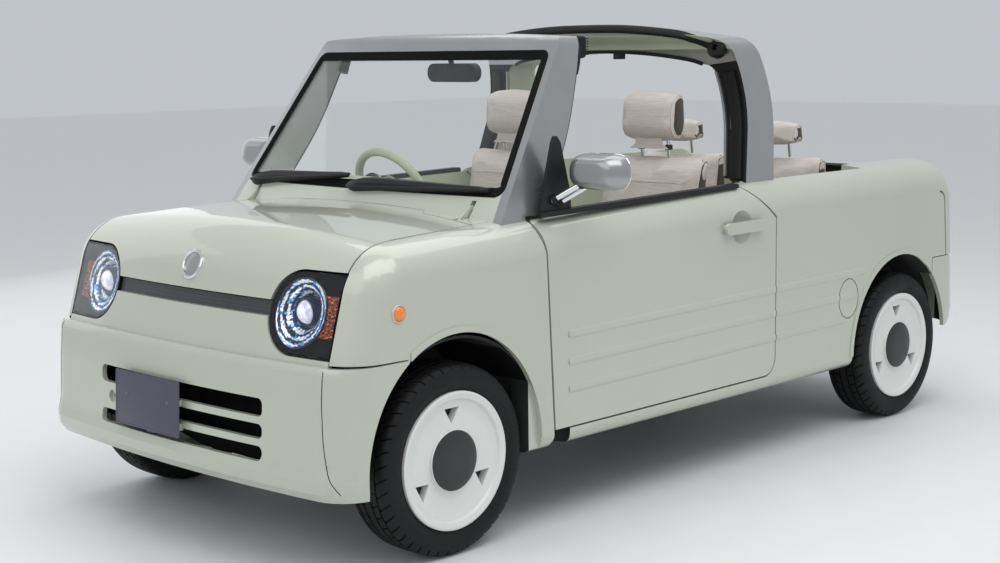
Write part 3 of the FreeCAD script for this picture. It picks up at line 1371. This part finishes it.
cross_low = size["subframe_low_height"]
subframe = box(1090.0, 1300.0, -bay_y + 6.0, bay_y - 6.0, cross_low, cross_low + 66.0)
subframe = subframe.cut(box(1120.0, 1270.0, -200.0, 200.0, 0.0, cross_low + 50.0))
for side in (1, -1):
    leg = box(1100.0, 1290.0, side * bay_y, side * (bay_y + bay_thick), cross_low,
              300.0) if side > 0 else box(
        1100.0, 1290.0, -bay_y - bay_thick, -bay_y, cross_low, 300.0)
    arm = along_z([(1105.0, 340.0), (1285.0, 340.0), (1290.0, 400.0), (1232.0, 590.0), (1232.0, 628.0),
                   (1178.0, 628.0), (1178.0, 590.0), (1100.0, 400.0)], [0, 0, 40.0, 60.0, 20.0, 20.0, 60.0,
                                                                        40.0],
                  162.0, 188.0)
    arm = arm.cut(rod(on_kingpin(120.0), on_kingpin(230.0), pin_big + size["pin_clearance"]))
    shoe = box(1100.0, 1290.0, bay_y - 10.0, bay_y + bay_thick, 162.0, 300.0)
    left_part = arm.fuse(shoe)
    subframe = subframe.fuse(left_part if side > 0 else mirrored(left_part))
mounts_top = size["engine_height"]
for x, y in ((1140.0, 240.0), (1140.0, -240.0), (1250.0, 240.0), (1250.0, -240.0)):
    subframe = subframe.fuse(Part.makeCylinder(26.0, mounts_top - cross_low - 40.0,
                                               vec(x, y, cross_low + 40.0)))
subframe = subframe.removeSplitter()
keep("front_subframe", subframe)

spindle = size["spindle_radius"]
wheel_centre_y = size["wheel_face_offset"] - size["tyre_width"] / 2
hub = rod(vec(front_axle_x, 560.0, axle_height), vec(front_axle_x, wheel_centre_y, axle_height),
          size["hub_radius"])
axle = rod(vec(front_axle_x, 600.0, axle_height), vec(front_axle_x, wheel_centre_y + 50.0, axle_height),
           spindle)
link = rod(on_kingpin(203.0), on_kingpin(300.0), 22.0)
low_pin = rod(on_kingpin(150.0), on_kingpin(240.0), pin_big)
carrier = rod(on_kingpin(270.0), on_kingpin(420.0), 27.0)
strut = rod(on_kingpin(390.0), on_kingpin(tower_top - 22.0), size["strut_radius"])
top_pin = rod(on_kingpin(tower_top - 40.0), on_kingpin(tower_top + 12.0), pin_big)
spring_seat = rod(on_kingpin(470.0), on_kingpin(478.0), 30.0)
knuckle = hub.fuse([axle, link, low_pin, carrier, strut, top_pin, spring_seat]).removeSplitter()
keep("knuckle_left", knuckle)
keep("knuckle_right", mirrored(knuckle))

# Rear axle: a cross beam with trailing arms and stub axles

beam_x = rear_axle_x + 85.0
beam_z = size["rear_beam_height"]
rear_axle = rod(vec(beam_x, -500.0, beam_z), vec(beam_x, 500.0, beam_z), size["rear_beam_radius"])
for side in (1, -1):
    arm = along_y([(-718.0, 290.0), (-718.0, 340.0), (-780.0, 344.0), (rear_axle_x - 45.0, 322.0),
                   (rear_axle_x - 45.0, 244.0), (beam_x, 240.0)], [20.0, 20.0, 30.0, 30.0, 30.0,
                                                                   60.0], 452.0, 506.0)
    stub_base = rod(vec(rear_axle_x, 500.0, axle_height), vec(rear_axle_x, wheel_centre_y, axle_height),
                    40.0)
    stub = rod(vec(rear_axle_x, 600.0, axle_height), vec(rear_axle_x, wheel_centre_y + 50.0, axle_height),
               spindle)
    shoe = box(-766.0, -722.0, 445.0, 515.0, 300.0, tank_top)
    left_part = arm.fuse([stub_base, stub, shoe])
    rear_axle = rear_axle.fuse(left_part if side > 0 else mirrored(left_part))
rear_axle = rear_axle.removeSplitter()
keep("rear_axle", rear_axle)

# Dashboard and its column

dash_y = size["dash_half_width"]
dash_points = [(fire_x - thick, 700.0), (880.0, 905.0), (800.0, 975.0), (640.0, 985.0), (578.0, 945.0),
               (560.0, 820.0), (620.0, 640.0), (870.0, 640.0)]
dash = along_y(dash_points, [0, 30.0, 60.0, 70.0, 45.0, 60.0, 40.0, 10.0], -dash_y, dash_y)
dash = dash.cut(skin_along(over_spans[2:3], size["skin"] + 1.0, 20.0))
rake = math.radians(size["column_rake_deg"])
column_axis = vec(-math.cos(rake), 0, math.sin(rake))
wheel_centre = vec(size["steering_wheel_x"], -size["steering_wheel_side"], size["steering_wheel_height"])
column_radius = size["column_radius"]
shaft = rod(wheel_centre - column_axis * 190.0, wheel_centre - column_axis * 8.0, column_radius)
shroud = rod(wheel_centre - column_axis * 210.0, wheel_centre - column_axis * 62.0, 34.0)
dash = dash.fuse([shaft, shroud])
hood_bump = along_y([(660.0, 970.0), (600.0, 1004.0), (575.0, 1000.0), (560.0, 940.0), (600.0, 900.0),
                     (680.0, 920.0)], [30.0, 12.0, 10.0, 30.0, 20.0, 20.0], wheel_centre.y - 130.0,
                    wheel_centre.y + 130.0)
dash = dash.fuse(hood_bump).removeSplitter()
keep("dashboard", dash)

rim = doc.addObject("Part::Torus", "wheel_rim")
rim.setExpression("Radius1", "<<sizes>>.steering_wheel_radius - <<sizes>>.steering_rim_radius")
rim.setExpression("Radius2", "<<sizes>>.steering_rim_radius")
boss = doc.addObject("Part::Cylinder", "wheel_boss")
boss.setExpression("Radius", "<<sizes>>.steering_boss_radius")
boss.Height = 54.0
boss.Placement = FreeCAD.Placement(vec(0, 0, -52.0), FreeCAD.Rotation())
spokes = []
for index, angle in enumerate((90.0, 180.0, 270.0)):
    spoke = doc.addObject("Part::Cylinder", "wheel_spoke_%d" % (index + 1))
    spoke.Radius = 13.0
    spoke.setExpression("Height", "<<sizes>>.steering_wheel_radius - <<sizes>>.steering_rim_radius")
    spoke.Placement = FreeCAD.Placement(
        vec(0, 0, -14.0), FreeCAD.Rotation(vec(0, 0, 1), angle).multiply(FreeCAD.Rotation(vec(0, 1, 0),
                                                                                          85.0)))
    spokes.append(spoke)
wheel_form = doc.addObject("Part::MultiFuse", "wheel_form")
wheel_form.Shapes = [rim, boss] + spokes
wheel_bore = doc.addObject("Part::Cylinder", "wheel_bore")
wheel_bore.setExpression("Radius", "<<sizes>>.column_radius + <<sizes>>.pin_clearance")
wheel_bore.Height = 48.0
wheel_bore.Placement = FreeCAD.Placement(vec(0, 0, -52.0), FreeCAD.Rotation())
steering = doc.addObject("Part::Cut", "steering_wheel")
steering.Base = wheel_form
steering.Tool = wheel_bore
steering.Placement = FreeCAD.Placement(wheel_centre, FreeCAD.Rotation(vec(0, 0, 1), column_axis))
steering.Label = "steering_wheel"
pieces["steering_wheel"] = steering

# Seats, the interior mirror, door mirrors and belt trims


def seat_block(points, radii, width, edge):
    """Cushion block with softened outer edges, centred on y = 0."""
    block = along_y(points, radii, -width / 2, width / 2)
    return block


front_width = size["front_seat_width"]
cushion = seat_block([(385.0, 400.0), (385.0, 535.0), (-10.0, 545.0), (-150.0, 520.0), (-150.0, 400.0)],
                     [30.0, 40.0, 0.0, 20.0, 30.0], front_width, 30.0)
backrest = seat_block([(-60.0, 420.0), (-20.0, 560.0), (-120.0, 1062.0), (-160.0, 1095.0), (-215.0, 1080.0),
                       (-150.0, 420.0)], [20.0, 80.0, 40.0, 30.0, 30.0, 20.0], front_width, 30.0)
head_rest = seat_block([(-95.0, 1120.0), (-112.0, 1268.0), (-190.0, 1286.0), (-205.0, 1130.0)],
                       [25.0, 36.0, 30.0, 20.0], 250.0, 30.0)
seat_posts = [rod(vec(-160.0, y, 1060.0), vec(-152.0, y, 1160.0), 7.0) for y in (-60.0, 60.0)]
runners = [box(-120.0, 350.0, y - 20.0, y + 20.0, size["floor_height"], 405.0) for y in (-190.0, 190.0)]
seat = cushion.fuse([backrest, head_rest] + seat_posts + runners).removeSplitter()
seat_left = seat.translated(vec(0, size["seat_offset"], 0))
seat_right = seat.translated(vec(0, -size["seat_offset"], 0))
keep("front_seats", Part.makeCompound([seat_left, seat_right]))

base_z = size["rear_seat_base_height"]
rear_back_x = back_x + 2.0
rear_seat = seat_block([(-640.0, base_z), (-640.0, 575.0), (-700.0, 600.0), (-1030.0, 585.0),
                        (rear_back_x, base_z)],
                       [10.0, 40.0, 60.0, 0.0, 10.0], size["rear_seat_width"], 30.0)
rear_back = seat_block([(-960.0, 560.0), (-1010.0, 1000.0), (-1060.0, 1030.0), (-1115.0, 1015.0),
                        (-1100.0, 560.0)], [30.0, 30.0, 30.0, 30.0, 0.0], size["rear_seat_width"], 30.0)
rear_back = rear_back.cut(box(-1300.0, rear_back_x, -wide, wide, 0.0, size["deck_height"] + 1.0))
rear_head = seat_block([(-985.0, 1045.0), (-1000.0, 1135.0), (-1065.0, 1140.0), (-1075.0, 1045.0)], 24.0,
                       240.0,
                       20.0)
rear_posts = [rod(vec(-1045.0, y, 1000.0), vec(-1035.0, y, 1080.0), 7.0) for y in (-60.0, 60.0)]
rear_seat = rear_seat.fuse([rear_back, rear_head] + rear_posts).removeSplitter()
rear_offset = size["rear_seat_width"] / 2 + 6.0
keep("rear_seats", Part.makeCompound([rear_seat.translated(vec(0, rear_offset, 0)),
                                      rear_seat.translated(vec(0, -rear_offset, 0))]))

head_z = size["screen_top_height"]
inner_mirror = along_x([(-115.0, head_z - 160.0), (115.0, head_z - 160.0), (115.0, head_z - 98.0),
                        (-115.0, head_z - 98.0)], 30.0, header_rear_x - 10.0, header_rear_x + 20.0)
mirror_stem = rod(vec(header_rear_x + 12.0, 0.0, head_z - 114.0),
                  vec(header_rear_x + 34.0, 0.0, head_z - 37.0),
                  size["mirror_stem_radius"])
keep("rear_view_mirror", inner_mirror.fuse(mirror_stem.cut(frame_shape)).removeSplitter())

trim_in = half_width - 74.0
trim_line = along_y(
    [(size["door_front_top_x"] - 6.0, belt_height(size["door_front_top_x"])),
     (size["belt_rear_x"] + 22.0, belt_height(size["belt_rear_x"])),
     (size["belt_rear_x"] + 22.0, belt_height(size["belt_rear_x"]) + size["trim_height"]),
     (size["door_front_top_x"] - 14.0, belt_height(size["door_front_top_x"]) + size["trim_height"])],
    [0, 0, 8.0, 8.0], trim_in, half_width - 42.0)
sail = along_y([(806.0, 950.0), (668.0, 952.0), (672.0, 1010.0), (714.0, 1160.0), (735.0, 1184.0),
                (748.0, 1160.0)],
               [0.0, 0.0, 30.0, 12.0, 8.0, 8.0], half_width - 62.0, half_width - 50.0)
trim = trim_line.fuse(sail).removeSplitter()
swing = Part.makeCylinder(size["trim_swing_radius"], 400.0, vec(hinge_x, hinge_y, 900.0))
trim = trim.common(box(-wide, hinge_x, 0.0, wide, 0.0, wide).fuse(swing))
keep("belt_trim_left", trim)
keep("belt_trim_right", mirrored(trim))

mirror_centre = vec(size["mirror_x"], size["mirror_offset"], size["mirror_height"])
half_deep = size["mirror_half_depth"]
mirror_faces = []
for shift, grow in ((-half_deep, 1.0), (-half_deep * 0.2, 1.0), (half_deep * 0.55, 0.86), (half_deep, 0.5)):
    half_y = size["mirror_half_width"] * grow
    half_z = size["mirror_half_tall"] * grow
    ring = rounded([(mirror_centre.y - half_y, mirror_centre.z - half_z),
                    (mirror_centre.y + half_y, mirror_centre.z - half_z),
                    (mirror_centre.y + half_y, mirror_centre.z + half_z),
                    (mirror_centre.y - half_y, mirror_centre.z + half_z)], half_z * 0.9,
                   lambda u, w, x=mirror_centre.x + shift: vec(x, u, w))
    mirror_faces.append(ring)
mirror_body = Part.makeLoft(mirror_faces, True, False)
arm_foot = vec(752.0, half_width - 52.0, 985.0)
arm_foot_low = vec(726.0, half_width - 52.0, 975.0)
arm_end = vec(size["mirror_x"] + 4.0, size["mirror_offset"] - 22.0, size["mirror_height"] - 20.0)
arms = [rod(arm_foot, arm_end, size["mirror_arm_radius"]),
        rod(arm_foot_low, arm_end - vec(22.0, 0, 10.0), size["mirror_arm_radius"])]
door_mirror = mirror_body.fuse([arm.cut(box(-wide, wide, 0.0, half_width - 50.0, 0.0,
                                            wide)) for arm in arms])
door_mirror = door_mirror.removeSplitter()
keep("mirror_left", door_mirror)
keep("mirror_right", mirrored(door_mirror))

# Wheels and tyres: sections turned about the axle


def guess(expression):
    """Present value of a formula over the sheet."""
    sheet.set("D1", "=" + expression)
    sheet.recompute()
    return float(sheet.get("D1"))


def plane_of(body, role):
    return next(item for item in body.Origin.OriginFeatures if item.Role == role)


def named_section(sketch, corners):
    """Closed polygon whose corners follow formulas over the sheet: (across, out) for each corner."""
    places = [vec(guess(across), guess(out), 0) for across, out in corners]
    count = len(places)
    for index in range(count):
        sketch.addGeometry(Part.LineSegment(places[index], places[(index + 1) % count]), False)
    for index in range(count):
        sketch.addConstraint(Sketcher.Constraint("Coincident", index, 2, (index + 1) % count, 1))
    for index, (across, out) in enumerate(corners):
        number = sketch.addConstraint(Sketcher.Constraint("DistanceX", -1, 1, index, 1, places[index].x))
        sketch.renameConstraint(number, "across_%d" % index)
        sketch.setExpression("Constraints.across_%d" % index, with_sheet(across))
        if out == "0":
            sketch.addConstraint(Sketcher.Constraint("PointOnObject", index, 1, -1))
        else:
            number = sketch.addConstraint(Sketcher.Constraint("DistanceY", -1, 1, index, 1, places[index].y))
            sketch.renameConstraint(number, "out_%d" % index)
            sketch.setExpression("Constraints.out_%d" % index, with_sheet(out))


def with_sheet(expression):
    """Same formula with each named size read from the sheet."""
    words = []
    for word in expression.split(" "):
        words.append("<<sizes>>." + word if word in SIZES else word)
    return " ".join(words)


def turned_body(name, corners):
    body = doc.addObject("PartDesign::Body", name)
    sketch = body.newObject("Sketcher::SketchObject", name + "_section")
    sketch.AttachmentSupport = [(plane_of(body, "YZ_Plane"), "")]
    sketch.MapMode = "FlatFace"
    named_section(sketch, corners)
    doc.recompute()
    turn = body.newObject("PartDesign::Revolution", name + "_turn")
    turn.Profile = sketch
    turn.ReferenceAxis = (sketch, ["H_Axis"])
    turn.Angle = 360.0
    sketch.Visibility = False
    doc.recompute()
    return body, sketch


wheel_corners = [
    ("0 - rim_width / 2", "rim_radius + 10"),
    ("0 - rim_width / 2", "rim_radius - 12"),
    ("0 - rim_width / 2 + 7", "rim_radius - 18"),
    ("30", "rim_radius - 18"),
    ("38", "rim_radius - 40"),
    ("34", "60"),
    ("10", "60"),
    ("10", "spindle_radius + pin_clearance"),
    ("55", "spindle_radius + pin_clearance"),
    ("55", "0"),
    ("tyre_width / 2 - 2", "0"),
    ("tyre_width / 2 - 2", "cap_radius - 29"),
    ("tyre_width / 2 - 10", "cap_radius"),
    ("tyre_width / 2 - 16", "cap_radius"),
    ("tyre_width / 2 - 20", "cap_radius + 11"),
    ("tyre_width / 2 - 18", "cover_radius - 51"),
    ("tyre_width / 2 - 12", "cover_radius - 26"),
    ("tyre_width / 2 - 4", "cover_radius - 21"),
    ("tyre_width / 2", "cover_radius - 6"),
    ("tyre_width / 2 - 2", "cover_radius"),
    ("rim_width / 2 - 3", "cover_radius"),
    ("rim_width / 2 - 9", "rim_radius"),
    ("9 - rim_width / 2", "rim_radius"),
]
wheel_body, wheel_sketch = turned_body("wheel_turned", wheel_corners)
hole_sketch = wheel_body.newObject("Sketcher::SketchObject", "cover_hole")
hole_sketch.AttachmentSupport = [(plane_of(wheel_body, "XZ_Plane"), "")]
hole_sketch.MapMode = "FlatFace"
hole_corners = [("0 - 29", "cover_hole_radius + 20"), ("29", "cover_hole_radius + 20"),
                ("0 - 0.01", "cover_hole_radius - 26")]
named_section(hole_sketch, hole_corners)
doc.recompute()
hole = wheel_body.newObject("PartDesign::Pocket", "cover_pocket")
hole.Profile = hole_sketch
hole.Type = "ThroughAll"
hole.Midplane = True
doc.recompute()
ring = wheel_body.newObject("PartDesign::PolarPattern", "cover_pockets")
ring.Originals = [hole]
ring.Axis = (wheel_sketch, ["H_Axis"])
ring.Angle = 360.0
ring.Occurrences = 3
wheel_body.Tip = ring
doc.recompute()

tyre_corners = [
    ("9 - rim_width / 2 + seat_clearance", "rim_radius + seat_clearance"),
    ("0 - rim_width / 2 + seat_clearance", "rim_radius + 10 + seat_clearance"),
    ("0 - tyre_width / 2 + 3", "rim_radius + 28"),
    ("0 - tyre_width / 2", "rim_radius + 46"),
    ("0 - tyre_width / 2 + 4", "rim_radius + 66"),
    ("0 - tyre_tread_width / 2", "tyre_radius - 4"),
    ("0 - tyre_tread_width / 2 + 10", "tyre_radius"),
    ("tyre_tread_width / 2 - 10", "tyre_radius"),
    ("tyre_tread_width / 2", "tyre_radius - 4"),
    ("tyre_width / 2 - 4", "rim_radius + 66"),
    ("tyre_width / 2", "rim_radius + 46"),
    ("tyre_width / 2 - 3", "rim_radius + 28"),
    ("rim_width / 2 - 3 - seat_clearance", "cover_radius + seat_clearance"),
    ("rim_width / 2 - 9 - seat_clearance", "rim_radius + seat_clearance"),
]
tyre_body, _ = turned_body("tyre_turned", tyre_corners)

for corner, x, side in (("front_left", front_axle_x, 1), ("front_right", front_axle_x, -1),
                        ("rear_left", rear_axle_x, 1), ("rear_right", rear_axle_x, -1)):
    turn = FreeCAD.Rotation(vec(0, 0, 1), 0.0 if side > 0 else 180.0)
    for kind, source in (("wheel", wheel_body), ("tyre", tyre_body)):
        node = doc.addObject("Part::Compound", kind + "_" + corner)
        node.Links = [source]
        node.Placement = FreeCAD.Placement(vec(x, side * wheel_centre_y, axle_height), turn)
        node.Label = kind + "_" + corner
        pieces[kind + "_" + corner] = node

# Fastening places on the front bumper, then the bumpers and the bay are kept

plate_z = size["plate_hole_height"]
for side in (1, -1):
    hole = Part.makeCylinder(size["plate_hole_radius"], 80.0,
                             vec(nose_x - 60.0, side * size["plate_hole_spacing"] / 2 - size["plate_offset"],
                                 plate_z), vec(1, 0, 0))
    front_bumper = front_bumper.cut(hole)
keep("front_bumper", front_bumper)
keep("rear_bumper", rear_bumper)
keep("bay_panels", bay_shape)
keep("floor_pan", floor)

doc.recompute()
for name, feature in sorted(pieces.items()):
    shape = feature.Shape
    state = [word for word in feature.State if word in ("Invalid", "Error")]
    if state or shape.isNull() or not shape.isValid():
        raise RuntimeError("piece %s is not sound: %s" % (name, state))
    shape.exportStep("parts/%s.step" % name)
